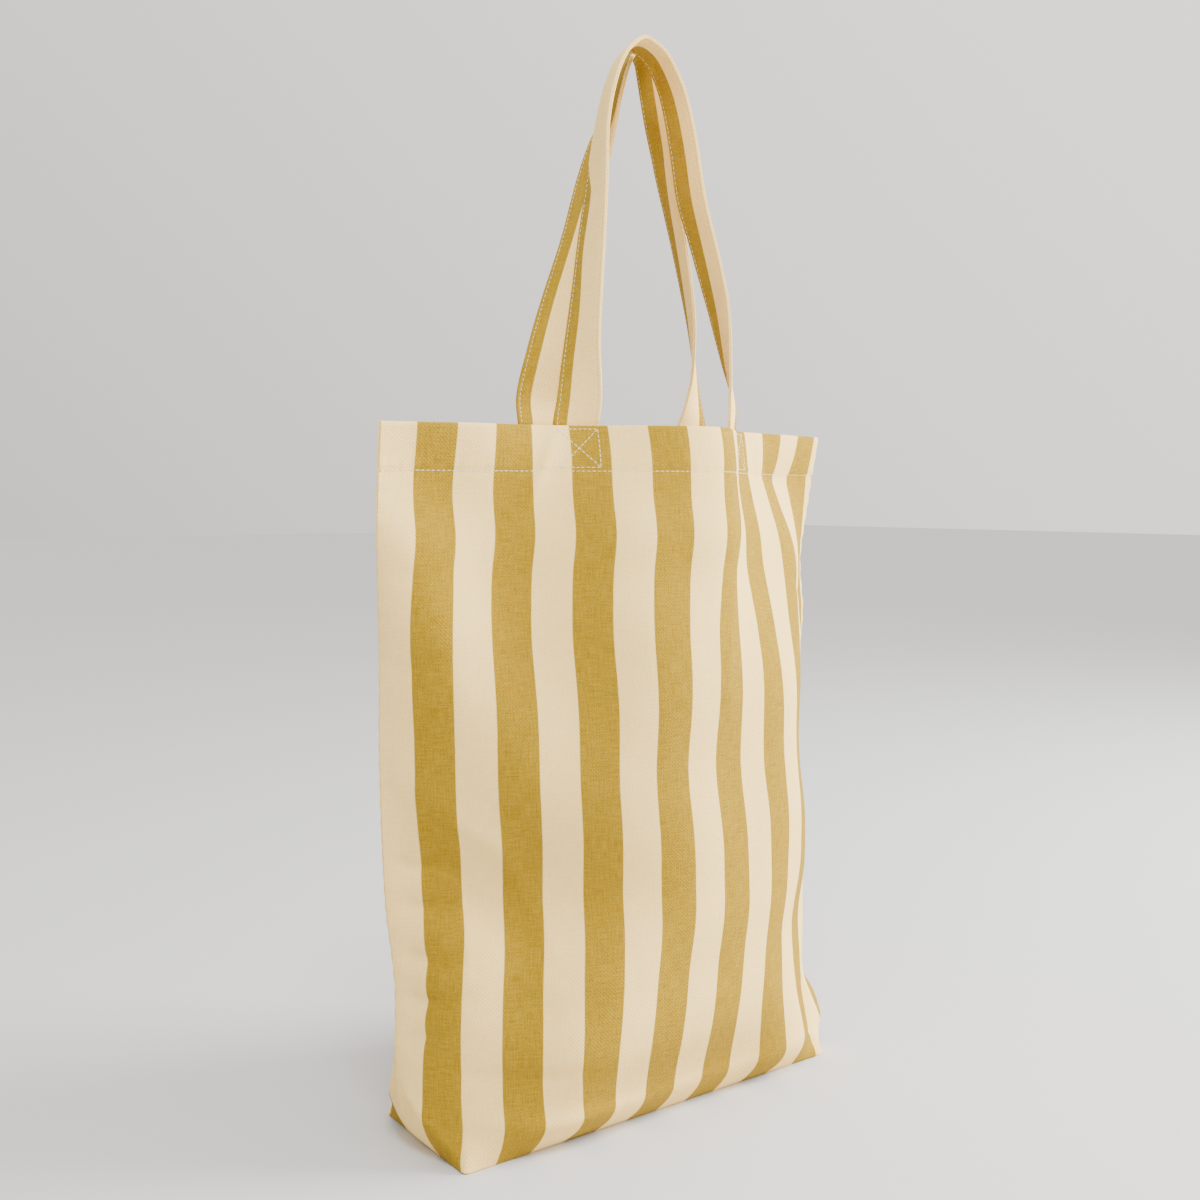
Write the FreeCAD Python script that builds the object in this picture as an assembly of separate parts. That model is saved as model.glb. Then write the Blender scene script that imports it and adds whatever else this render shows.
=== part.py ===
import FreeCAD, Part
import math
import os

# A standing canvas tote bag with two webbing-width cloth handles.
# Millimetres. Origin at the middle of the base, +X along the front panel to its
# right, +Y to the back, +Z up.

os.makedirs("parts", exist_ok=True)
Vector = FreeCAD.Vector

# ---------------------------------------------------------------- sizes
PANEL_WIDTH = 380.0            # one panel between its two side seams, flat
RIM_HEIGHT = 425.0
BASE_WIDTH = 285.0
BASE_DEPTH = 95.0
CLOTH = 1.2                    # wall as modelled
HEM_DEPTH = 27.0
STRAP_WIDTH = 27.0
STRAP_THICK = 2.4              # four layers, pressed and stitched
SAME_BODY_GAP = 0.05           # between sewn pieces that move together
RIM_GAP = 1.5                  # from the rim to the foot of a handle loop
THREAD = 0.4                   # thickness of a row of stitches
THREAD_WIDTH = 0.9
EDGE_STITCH_INSET = 2.5
HANDLE_STATIONS = (120.0, 260.0)   # leg centres along the cloth, from the left seam
ALLOWANCE = 9.0                # seam allowance left standing inside
ALLOWANCE_THICK = 1.6          # two layers and their overlock
SEAM_START = 0.9               # nearest an allowance comes to its side seam
SEAM_PROBE = 8.0               # where the angle between the panels is taken, from a seam
SIDE_SEAM_HEIGHTS = (30, 60, 100, 150, 225, 300, 340, 380, 396)
BOX_STITCH_RISE = 3.0          # from the hem's stitching to a box stitch
STITCH_CLEAR = 0.2             # between rows that would cross
HEM_STITCH_END = 4.0           # from a side seam to the end of the hem stitching
BOTTOM_SEAM_END = 12.0         # from the base's edge to the end of its middle seam
CORNER_SEAM_INSET = 2.5
CORNER_SEAM_END = 6.0

# ---------------------------------------------------------------- the walls
# Heading of the cloth, in degrees from +X, at these distances from the left seam.
# Each row is one height. The cloth's width is kept at every height.
CLOTH_U = (0, 25, 55, 90, 125, 160, 200, 225, 260, 300, 340, 380)
FRONT_HEADINGS = {
    25: (-88, -60, -35, -20, 0, 0, 2, 0, -6, 20, 42, 80),
    60: (-85, -59, -38, -34, -8, 0, 0, 5, 9, 29, 43, 64),
    100: (-65, -62, -20, -32, -25, -3, 0, 4, 18, 32, 36, 54),
    150: (-41, -29, -16, -33, -24, -17, 5, 6, 15, 27, 46, 48),
    225: (-40, -48, -38, -22, -20, -8, 7, 11, 10, 32, 52, 46),
    300: (-78, -43, -8, -24, -40, -20, 8, 20, 18, 25, 43, 40),
    340: (-70, -20, -6, -30, -38, -20, -2, 34, 22, 14, 42, 41),
    380: (-6, -8, -20, -22, -38, -22, -5, 34, 30, 20, 25, 26),
    425: (-9, -15, -8, -1, -31, -35, -4, 35, 40, 11, 16, 23),
}
BACK_HEADINGS = {
    25: (75, 60, 35, 15, 0, 0, 0, 0, -8, -20, -45, -80),
    60: (60, 55, 40, 25, 8, 0, 0, -5, -12, -30, -45, -62),
    100: (52, 52, 40, 30, 12, 3, 0, -6, -16, -32, -46, -55),
    150: (48, 50, 43, 31, 16, 6, 0, -8, -17, -33, -50, -52),
    225: (48, 50, 43, 29, 18, 8, -2, -10, -19, -35, -50, -52),
    300: (44, 41, 29, 22, 15, 13, -2, -19, -17, -24, -40, -40),
    340: (37, 33, 20, 10, 8, 22, 1, -27, -9, -10, -33, -35),
    380: (28, 27, 12, -6, 0, 30, 5, -34, 4, 6, -28, -30),
    425: (28, 30, 8, -20, -8, 34, 6, -38, 8, 22, -30, -30),
}
LEFT_SEAM = {0: (-141.3, 0), 25: (-156, 1), 60: (-159, 1), 100: (-158, 3), 150: (-164, 2),
             225: (-169, -3), 300: (-170, -6), 340: (-171, -7), 380: (-172, -9),
             425: (-170, -10)}
RIGHT_SEAM = {0: (141.3, 0), 25: (163, -3), 60: (160, -3), 100: (165, 1), 150: (164, 4),
              225: (156, 2), 300: (158, -6), 340: (161, 0), 380: (171, 3),
              425: (178, 1)}
WALL_HEIGHTS = (0, 8, 25, 42, 60, 80, 100, 125, 150, 185, 225, 262, 300, 320, 340, 360,
                380, 398, 412, 425)
WALL_POINTS = 38


def smooth(knots, values, at):
    """Cubic curve through the values, flat-ended, with slopes taken from neighbours."""
    last = len(knots) - 1
    at = min(max(at, knots[0]), knots[last])
    i = 0
    while i < last - 1 and at > knots[i + 1]:
        i += 1
    span = knots[i + 1] - knots[i]
    t = (at - knots[i]) / span

    def slope(k):
        a, b = max(k - 1, 0), min(k + 1, last)
        return (values[b] - values[a]) / (knots[b] - knots[a])

    m0, m1 = slope(i) * span, slope(i + 1) * span
    return ((2 * t**3 - 3 * t**2 + 1) * values[i] + (t**3 - 2 * t**2 + t) * m0
            + (3 * t**2 - 2 * t**3) * values[i + 1] + (t**3 - t**2) * m1)


def seam_point(seam, z):
    heights = sorted(seam)
    return tuple(smooth(heights, [seam[h][axis] for h in heights], z) for axis in (0, 1))


def heading_curve(headings, start, end, count):
    """Points at equal steps of cloth from start to end, turned and bent so they meet both."""
    step = PANEL_WIDTH / count
    mean = sum(headings) / len(headings)
    chord = math.dist(start, end)

    def run(bend):
        x, y, points = 0.0, 0.0, [(0.0, 0.0)]
        for i in range(count):
            h = smooth(CLOTH_U, headings, (i + 0.5) * step)
            h = math.radians(mean + (h - mean) * bend)
            x, y = x + step * math.cos(h), y + step * math.sin(h)
            points.append((x, y))
        return points

    low, high = 0.2, 2.5
    for _ in range(40):
        bend = (low + high) / 2
        if math.hypot(*run(bend)[-1]) > chord:
            low = bend
        else:
            high = bend
    points = run(bend)
    turn = (math.atan2(end[1] - start[1], end[0] - start[0])
            - math.atan2(points[-1][1], points[-1][0]))
    c, s = math.cos(turn), math.sin(turn)
    return [(start[0] + x * c - y * s, start[1] + x * s + y * c) for x, y in points]


def base_curve(side, count):
    """The base's outline from left seam to right seam, with rounded corners."""
    w, d = BASE_WIDTH / 2 - CLOTH, BASE_DEPTH / 2 - CLOTH
    corner = 10.0
    straight = d - corner
    quarter = math.pi * corner / 2
    total = 2 * straight + 2 * quarter + 2 * (w - corner)
    points = []
    for i in range(count + 1):
        s = total * i / count
        mirror = s > total / 2
        s = min(s, total - s)
        if s < straight:
            x, y = -w, s
        elif s < straight + quarter:
            a = (s - straight) / corner
            x, y = -w + corner * (1 - math.cos(a)), straight + corner * math.sin(a)
        else:
            x, y = -w + corner + s - straight - quarter, d
        points.append((-x if mirror else x, side * y))
    return points


def section(side, z, count=WALL_POINTS):
    """Inner face of one panel at height z. side is -1 for the front, 1 for the back."""
    table = FRONT_HEADINGS if side < 0 else BACK_HEADINGS
    heights = sorted(table)
    if z < heights[0]:
        low = base_curve(side, count)
        high = section(side, heights[0], count)
        t = math.sin(z / heights[0] * math.pi / 2)
        return [(a[0] + (b[0] - a[0]) * t, a[1] + (b[1] - a[1]) * t)
                for a, b in zip(low, high)]
    headings = [smooth(heights, [table[h][k] for h in heights], z)
                for k in range(len(CLOTH_U))]
    return heading_curve(headings, seam_point(LEFT_SEAM, z), seam_point(RIGHT_SEAM, z), count)


def normals(points, side):
    """Horizontal outward normals of a section."""
    out = []
    for i in range(len(points)):
        a, b = points[max(i - 1, 0)], points[min(i + 1, len(points) - 1)]
        dx, dy = b[0] - a[0], b[1] - a[1]
        n = math.hypot(dx, dy)
        out.append((-side * dy / n, side * dx / n))
    return out


def spline(points):
    curve = Part.BSplineCurve()
    curve.interpolate([Vector(*p) for p in points])
    return curve.toShape()


def offset(points, outward, distance):
    return [(p[0] + n[0] * distance, p[1] + n[1] * distance) for p, n in zip(points, outward)]


def ring(side, z, near, far, u0=0.0, u1=PANEL_WIDTH):
    """Closed wire of a panel's section between two offsets from its inner face."""
    points = section(side, z)
    outward = normals(points, side)
    step = PANEL_WIDTH / WALL_POINTS
    us = [i * step for i in range(WALL_POINTS + 1)]

    def line(distance):
        shifted = offset(points, outward, distance)
        inside = [u for u in us if u0 + 1 < u < u1 - 1]
        chosen = [u0] + inside + [u1]
        xs, ys = [p[0] for p in shifted], [p[1] for p in shifted]
        return [(smooth(us, xs, u), smooth(us, ys, u), z) for u in chosen]

    a, b = line(near), line(far)
    return Part.Wire([spline(a), Part.makeLine(Vector(*a[-1]), Vector(*b[-1])),
                      spline(b[::-1]), Part.makeLine(Vector(*b[0]), Vector(*a[0]))])


def band(side, heights, near, far, u0=0.0, u1=PANEL_WIDTH):
    return Part.makeLoft([ring(side, z, near, far, u0, u1) for z in heights], True, True)


def at_cloth(side, u, z):
    """Point on the inner face, its heading and its outward normal."""
    points = section(side, z)
    i = min(int(u / PANEL_WIDTH * WALL_POINTS), WALL_POINTS - 1)
    t = u / PANEL_WIDTH * WALL_POINTS - i
    a, b = points[i], points[i + 1]
    dx, dy = b[0] - a[0], b[1] - a[1]
    n = math.hypot(dx, dy)
    return ((a[0] + dx * t, a[1] + dy * t), math.degrees(math.atan2(dy, dx)),
            (-side * dy / n, side * dx / n))


def outward_solids(solids):
    """One compound, with every solid's faces looking outwards."""
    return Part.makeCompound([solid if solid.Volume > 0 else solid.reversed()
                              for solid in solids])


# ---------------------------------------------------------------- the handles
# Middle of the strap above the rim and the compass angle of its front edge.
FRONT_PATH = ((-49, -29, 441, -46), (-46, -27, 471, -72), (-40.5, -25, 508, -84),
              (-36, -23, 536, -89), (-31.2, -22.2, 572.4, -99), (-27.2, -21.4, 603.5, -108),
              (-19.7, -20.4, 630.6, -110), (-10.8, -19.7, 647.6, -109),
              (0.5, -19.3, 656.6, -106), (12.6, -20.1, 653, -101), (22, -20.3, 642.4, -98),
              (29, -20.7, 627.7, -94), (35.4, -21.4, 602.6, -91), (42.3, -21.5, 569.4, -90),
              (51.3, -22.2, 543, -94), (57, -25, 520, -97), (62, -27, 498, -104),
              (66, -30, 466, -122), (68, -33, 442, -138))
BACK_PATH = ((-56, 5, 442, -24), (-49, 5, 468, -38), (-38.9, 5.1, 503, -60),
             (-27.3, 5, 540.2, -76), (-12.7, 9.8, 581, -83), (-6.2, 10, 600.1, -88),
             (-2.3, 7.9, 613.9, -97), (1.8, 6.9, 628.9, -103), (10.3, 8.1, 651, -105),
             (21.3, 9.6, 666, -102), (30, 10.2, 662.4, -97), (34.4, 11, 652.6, -92),
             (37.9, 11.1, 637.5, -91), (41.3, 10.9, 621.4, -92), (45.1, 10.7, 605.4, -95),
             (48, 10.7, 590.6, -100), (52.1, 9.7, 569.5, -107), (56.6, 8.7, 549.6, -110),
             (62.5, 8.6, 525.1, -114), (68, 9, 499, -120), (71, 10, 478, -128),
             (73, 11, 454, -142))
STRAP_STEPS = 54


def strap_frames(side, path):
    """Places along a strap from rim to rim: centre, width direction, face normal."""
    keys = []
    for u, flip in ((HANDLE_STATIONS[0], 0), (HANDLE_STATIONS[1], 180)):
        p, heading, n = at_cloth(side, u, RIM_HEIGHT)
        inset = SAME_BODY_GAP + STRAP_THICK / 2
        keys.append((p[0] - n[0] * inset, p[1] - n[1] * inset, RIM_HEIGHT + RIM_GAP,
                     heading - flip))
    keys = [keys[0]] + list(path) + [keys[1]]
    reach = [0.0]
    for a, b in zip(keys, keys[1:]):
        reach.append(reach[-1] + math.dist(a[:3], b[:3]))
    frames = []
    for i in range(STRAP_STEPS + 1):
        s = reach[-1] * i / STRAP_STEPS
        centre = Vector(*(smooth(reach, [k[axis] for k in keys], s) for axis in range(3)))
        ahead = Vector(*(smooth(reach, [k[axis] for k in keys], min(s + 1, reach[-1]))
                         for axis in range(3)))
        behind = Vector(*(smooth(reach, [k[axis] for k in keys], max(s - 1, 0))
                          for axis in range(3)))
        along = (ahead - behind).normalize()
        if i in (0, STRAP_STEPS):
            along = Vector(0, 0, 1 if i == 0 else -1)
        angle = math.radians(smooth(reach, [k[3] for k in keys], s))
        width = Vector(math.cos(angle), math.sin(angle), 0)
        width = (width - along * width.dot(along)).normalize()
        frames.append((centre, width, width.cross(along).normalize()))
    return frames


def skin(rings):
    """A solid skinned with triangles over rings of points, so that twist can't fold it."""
    size = len(rings[0])
    faces = [Part.Face(Part.makePolygon(end + end[:1])) for end in (rings[0][::-1], rings[-1])]
    for a, b in zip(rings, rings[1:]):
        for k in range(size):
            p, q, r, t = a[k], a[(k + 1) % size], b[(k + 1) % size], b[k]
            faces.append(Part.Face(Part.makePolygon([p, q, r, p])))
            faces.append(Part.Face(Part.makePolygon([p, r, t, p])))
    shell = Part.makeShell(faces)
    shell.sewShape()
    solid = Part.makeSolid(shell)
    return solid if solid.Volume > 0 else solid.reversed()


def strip(frames, across, near, far):
    """A flat strip along the frames, with an edge at each place in across."""
    rings = []
    for centre, width, face in frames:
        low = [centre + width * w + face * near for w in across]
        high = [centre + width * w + face * far for w in across[::-1]]
        rings.append(low + high)
    return skin(rings)


def build_handle(name, side, path):
    frames = strap_frames(side, path)
    half, thick = STRAP_WIDTH / 2, STRAP_THICK / 2
    row, thread = half - EDGE_STITCH_INSET, THREAD_WIDTH / 2
    edges = (-half, -row - thread, -row + thread, row - thread, row + thread, half)
    shapes[name] = strip(frames, edges, -thick, thick)
    rows = []
    for w in (-row, row):
        for face in (-1, 1):
            near = face * (thick + SAME_BODY_GAP)
            far = near + face * THREAD
            rows.append(strip(frames[2:-2], (w - thread, w + thread),
                              min(near, far), max(near, far)))
    shapes[name + "_stitching"] = Part.makeCompound(rows)


# ---------------------------------------------------------------- the bag
shapes = {}


def build_panel(name, side):
    wall = band(side, WALL_HEIGHTS, 0.0, CLOTH)
    depth = BASE_DEPTH / 2 - CLOTH / 2
    plate = Part.makeBox(BASE_WIDTH - CLOTH, depth, CLOTH,
                         Vector(-(BASE_WIDTH - CLOTH) / 2, -depth if side < 0 else 0, 0))
    shapes[name] = wall.fuse(plate).removeSplitter()


def build_handle_end(name, side, u):
    """The sewn end of a strap, lying against the inside of the hem."""
    heights = (RIM_HEIGHT - HEM_DEPTH, RIM_HEIGHT - HEM_DEPTH / 2, RIM_HEIGHT)
    near = -SAME_BODY_GAP - STRAP_THICK
    shapes[name] = band(side, heights, near, -SAME_BODY_GAP,
                        u - STRAP_WIDTH / 2, u + STRAP_WIDTH / 2)


def build_cross_stitch(name, side, u):
    """The box with a cross in it that holds a strap, on the outside of the hem."""
    half = STRAP_WIDTH / 2 - EDGE_STITCH_INSET
    low = RIM_HEIGHT - HEM_DEPTH + BOX_STITCH_RISE
    high = RIM_HEIGHT - EDGE_STITCH_INSET
    near, far = CLOTH + SAME_BODY_GAP, CLOTH + SAME_BODY_GAP + THREAD
    w = THREAD_WIDTH / 2

    def bar(u0, z0, u1, z1):
        """A row of stitches along a straight line on the cloth."""
        wires = []
        for f in (0, 0.25, 0.5, 0.75, 1):
            z = z0 + (z1 - z0) * f
            corners = []
            for du, d in ((-w, near), (w, near), (w, far), (-w, far)):
                p, _, n = at_cloth(side, u0 + (u1 - u0) * f + du, z)
                corners.append(Vector(p[0] + n[0] * d, p[1] + n[1] * d, z))
            wires.append(Part.makePolygon(corners + corners[:1]))
        return Part.makeLoft(wires, True, True)

    clear = 2 * w + STITCH_CLEAR
    left, right = u - half, u + half
    bars = [band(side, (z - w, z + w), near, far, left - w, right + w) for z in (low, high)]
    bars += [bar(edge, low + clear, edge, high - clear) for edge in (left, right)]
    bottom, top = low + clear, high - clear
    left, right = left + clear, right - clear
    bars.append(bar(left, bottom, right, top))
    middle, rise = 0.08 * (right - left), 0.08 * (top - bottom)
    centre_u, centre_z = (left + right) / 2, (bottom + top) / 2
    bars.append(bar(right, bottom, centre_u + middle, centre_z - rise))
    bars.append(bar(centre_u - middle, centre_z + rise, left, top))
    shapes[name] = outward_solids(bars)


def build_hem_stitching():
    """The row that holds the turned-down hem, round the outside of both panels."""
    z = RIM_HEIGHT - HEM_DEPTH
    heights = (z - THREAD_WIDTH / 2, z + THREAD_WIDTH / 2)
    near, far = CLOTH + SAME_BODY_GAP, CLOTH + SAME_BODY_GAP + THREAD
    shapes["hem_stitching"] = Part.makeCompound(
        [band(side, heights, near, far, HEM_STITCH_END, PANEL_WIDTH - HEM_STITCH_END)
         for side in (-1, 1)])


def build_side_seam(name, seam, inward):
    """Both panels' allowances, overlocked together, standing into the bag."""
    wires = []
    probe = SEAM_PROBE if inward > 0 else PANEL_WIDTH - SEAM_PROBE
    for z in SIDE_SEAM_HEIGHTS:
        x, y = seam_point(seam, z)
        a = [at_cloth(side, probe, z)[0] for side in (-1, 1)]
        aim = ((a[0][0] + a[1][0]) / 2 - x, (a[0][1] + a[1][1]) / 2 - y)
        n = math.hypot(*aim)
        d = (aim[0] / n, aim[1] / n)
        gap = math.dist(a[0], a[1]) / n / 2
        start = max(SEAM_START, ALLOWANCE_THICK / 2 / max(gap, 0.05))
        half = ALLOWANCE_THICK / 2
        corners = [Vector(x + d[0] * s - d[1] * t, y + d[1] * s + d[0] * t, z)
                   for s, t in ((start, -half), (start + ALLOWANCE, -half),
                                (start + ALLOWANCE, half), (start, half))]
        wires.append(Part.makePolygon(corners + corners[:1]))
    shapes[name] = Part.makeLoft(wires, True, True)


build_panel("front_panel", -1)
build_panel("back_panel", 1)
for word, direction in (("front", -1), ("back", 1)):
    for which, station in zip(("left", "right"), HANDLE_STATIONS):
        build_handle_end(f"{word}_handle_end_{which}", direction, station)
        build_cross_stitch(f"cross_stitch_{word}_{which}", direction, station)
build_hem_stitching()
build_side_seam("side_seam_left", LEFT_SEAM, 1)
build_side_seam("side_seam_right", RIGHT_SEAM, -1)

floor = CLOTH + SAME_BODY_GAP
shapes["bottom_seam"] = Part.makeBox(
    BASE_WIDTH - 2 * BOTTOM_SEAM_END, ALLOWANCE, ALLOWANCE_THICK,
    Vector(-BASE_WIDTH / 2 + BOTTOM_SEAM_END, -ALLOWANCE / 2, floor))
corner = BASE_WIDTH / 2 - CORNER_SEAM_INSET
for which, x in (("left", -corner), ("right", corner - ALLOWANCE)):
    shapes["corner_seam_" + which] = Part.makeBox(
        ALLOWANCE, BASE_DEPTH - 2 * CORNER_SEAM_END, ALLOWANCE_THICK,
        Vector(x, -BASE_DEPTH / 2 + CORNER_SEAM_END, floor))

build_handle("front_handle", -1, FRONT_PATH)
build_handle("back_handle", 1, BACK_PATH)

for name, shape in shapes.items():
    print(name, "valid" if shape.isValid() else "NOT VALID", len(shape.Solids),
          round(shape.Volume, 1), [round(v, 1) for v in
                                   (shape.BoundBox.XMin, shape.BoundBox.XMax,
                                    shape.BoundBox.YMin, shape.BoundBox.YMax,
                                    shape.BoundBox.ZMin, shape.BoundBox.ZMax)])
    shape.exportStep(f"parts/{name}.step")
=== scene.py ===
import bpy
import bmesh
import math
import numpy as np
from mathutils import Matrix, Vector, noise


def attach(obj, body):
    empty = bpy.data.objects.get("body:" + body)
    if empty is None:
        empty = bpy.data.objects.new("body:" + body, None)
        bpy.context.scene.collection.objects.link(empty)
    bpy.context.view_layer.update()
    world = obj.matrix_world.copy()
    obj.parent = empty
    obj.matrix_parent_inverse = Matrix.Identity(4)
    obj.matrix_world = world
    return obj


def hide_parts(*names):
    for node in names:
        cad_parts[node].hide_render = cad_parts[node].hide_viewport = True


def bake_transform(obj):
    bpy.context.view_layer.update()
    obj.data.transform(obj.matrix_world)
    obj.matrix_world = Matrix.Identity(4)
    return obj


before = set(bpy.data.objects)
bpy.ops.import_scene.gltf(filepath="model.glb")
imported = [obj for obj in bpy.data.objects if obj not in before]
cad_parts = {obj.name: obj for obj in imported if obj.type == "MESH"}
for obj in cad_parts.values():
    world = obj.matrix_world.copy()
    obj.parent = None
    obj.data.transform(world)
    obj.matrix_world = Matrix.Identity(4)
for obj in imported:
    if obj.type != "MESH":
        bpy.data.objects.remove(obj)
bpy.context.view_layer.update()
MM = 0.001

# Sizes in millimetres
PANEL_WIDTH = 380.0
RIM = 425.0
HALF_BASE_WIDTH = 142.5
HALF_BASE_DEPTH = 47.5
CLOTH = 0.8
HEM = 27.0
TURN_UNDER = 1.0
ALLOWANCE = 9.0
STRIPE = 23.5
FIRST_CREAM = 21.0
STRAP_WIDTH = 27.0
STRAP_BACK = -2.85
EDGE_ROW = 11.1
RIM_GAP = 1.5
STATIONS = (120.0, 260.0)
STITCH = 3.1
STITCH_GAP = 0.45
THREAD = 0.3
STRAP_THREAD = 0.22
STRAP_STITCH_GAP = 0.8
WEAVE = 1.1
BASE_CORNER = 1.2
RIM_FOLD = 0.3
HEM_BACK = -0.85
SEWN_ZONE = 12.0
BASE_ZONE = 9.0
SEAM_LAYERS = 1.3
FOOT_BLEND = 14.0
THREAD_LIFT = 0.02

# ------------------------------------------------------------------ the cloth's shape
# Heading of the cloth in plan, in degrees from +X, at these distances from the left seam
U_KNOTS = (0, 25, 55, 90, 125, 160, 200, 225, 260, 300, 340, 380)
FRONT_HEADINGS = {
    25: (-88, -60, -35, -20, 0, 0, 2, 0, -6, 20, 42, 80),
    60: (-85, -59, -38, -34, -8, 0, 0, 5, 9, 29, 43, 64),
    100: (-65, -62, -20, -32, -25, -3, 0, 4, 18, 32, 36, 54),
    150: (-41, -29, -16, -33, -24, -17, 5, 6, 15, 27, 46, 48),
    225: (-40, -48, -38, -22, -20, -8, 7, 11, 10, 32, 52, 46),
    300: (-78, -43, -8, -24, -40, -20, 8, 20, 18, 25, 43, 40),
    340: (-70, -20, -6, -30, -38, -20, -2, 34, 22, 14, 42, 41),
    380: (-6, -8, -20, -22, -38, -22, -5, 34, 30, 20, 25, 26),
    425: (-9, -15, -8, -1, -31, -35, -4, 35, 40, 11, 16, 23),
}
BACK_HEADINGS = {
    25: (75, 60, 35, 15, 0, 0, 0, 0, -8, -20, -45, -80),
    60: (60, 55, 40, 25, 8, 0, 0, -5, -12, -30, -45, -62),
    100: (52, 52, 40, 30, 12, 3, 0, -6, -16, -32, -46, -55),
    150: (48, 50, 43, 31, 16, 6, 0, -8, -17, -33, -50, -52),
    225: (48, 50, 43, 29, 18, 8, -2, -10, -19, -35, -50, -52),
    300: (44, 41, 29, 22, 15, 13, -2, -19, -17, -24, -40, -40),
    340: (37, 33, 20, 10, 8, 22, 1, -27, -9, -10, -33, -35),
    380: (28, 27, 12, -6, 0, 30, 5, -34, 4, 6, -28, -30),
    425: (28, 30, 8, -20, -8, 34, 6, -38, 8, 22, -30, -30),
}
LEFT_SEAM = {0: (-141.7, 0), 25: (-156, 1), 60: (-159, 1), 100: (-158, 3), 150: (-164, 2),
             225: (-169, -3), 300: (-170, -6), 340: (-171, -7), 380: (-172, -9),
             425: (-170, -10)}
RIGHT_SEAM = {0: (141.7, 0), 25: (163, -3), 60: (160, -3), 100: (165, 1), 150: (164, 4),
              225: (156, 2), 300: (158, -6), 340: (161, 0), 380: (171, 3), 425: (178, 1)}

# The middle of each strap above the rim, and the compass angle of its front edge
FRONT_PATH = ((-49, -29, 441, -46), (-46, -27, 471, -72), (-40.5, -25, 508, -84),
              (-36, -23, 536, -89), (-31.2, -22.2, 572.4, -99), (-27.2, -21.4, 603.5, -108),
              (-19.7, -20.4, 630.6, -110), (-10.8, -19.7, 647.6, -109),
              (0.5, -19.3, 656.6, -106), (12.6, -20.1, 653, -101), (22, -20.3, 642.4, -98),
              (29, -20.7, 627.7, -94), (35.4, -21.4, 602.6, -91), (42.3, -21.5, 569.4, -90),
              (51.3, -22.2, 543, -94), (57, -25, 520, -97), (62, -27, 498, -104),
              (66, -30, 466, -122), (68, -33, 442, -138))
BACK_PATH = ((-56, 5, 442, -24), (-49, 5, 468, -38), (-38.9, 5.1, 503, -60),
             (-27.3, 5, 540.2, -76), (-12.7, 9.8, 581, -83), (-6.2, 10, 600.1, -88),
             (-2.3, 7.9, 613.9, -97), (1.8, 6.9, 628.9, -103), (10.3, 8.1, 651, -105),
             (21.3, 9.6, 666, -102), (30, 10.2, 662.4, -97), (34.4, 11, 652.6, -92),
             (37.9, 11.1, 637.5, -91), (41.3, 10.9, 621.4, -92), (45.1, 10.7, 605.4, -95),
             (48, 10.7, 590.6, -100), (52.1, 9.7, 569.5, -107), (56.6, 8.7, 549.6, -110),
             (62.5, 8.6, 525.1, -114), (68, 9, 499, -120), (71, 10, 478, -128),
             (73, 11, 454, -142))
# Share of a strap's width that is ochre, from its back edge, by height:
# (left leg outside, left leg inside, right leg outside, right leg inside)
FRONT_TONES = {398: (0.35, 0.5, 0.35, 0.5), 440: (0.3, 0.45, 0.3, 0.42),
               490: (0.38, 0.5, 0.3, 0.45), 530: (0.3, 0.5, 0.25, 0.5),
               565: (0.36, 0.5, 0.2, 0.56), 574: (0.21, 0.5, 0.15, 0.57),
               592: (-0.05, 0.52, 0.05, 0.58), 670: (-0.1, 0.55, -0.1, 0.55)}
BACK_TONES = {398: (0.34, 0.5, 0.34, 0.3), 480: (0.34, 0.45, 0.3, 0.3),
              540: (0.42, 0.45, 0.4, 0.42), 590: (0.6, 0.5, 0.6, 0.55),
              620: (0.9, 0.55, 0.9, 0.6), 675: (0.95, 0.6, 0.95, 0.6)}

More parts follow.
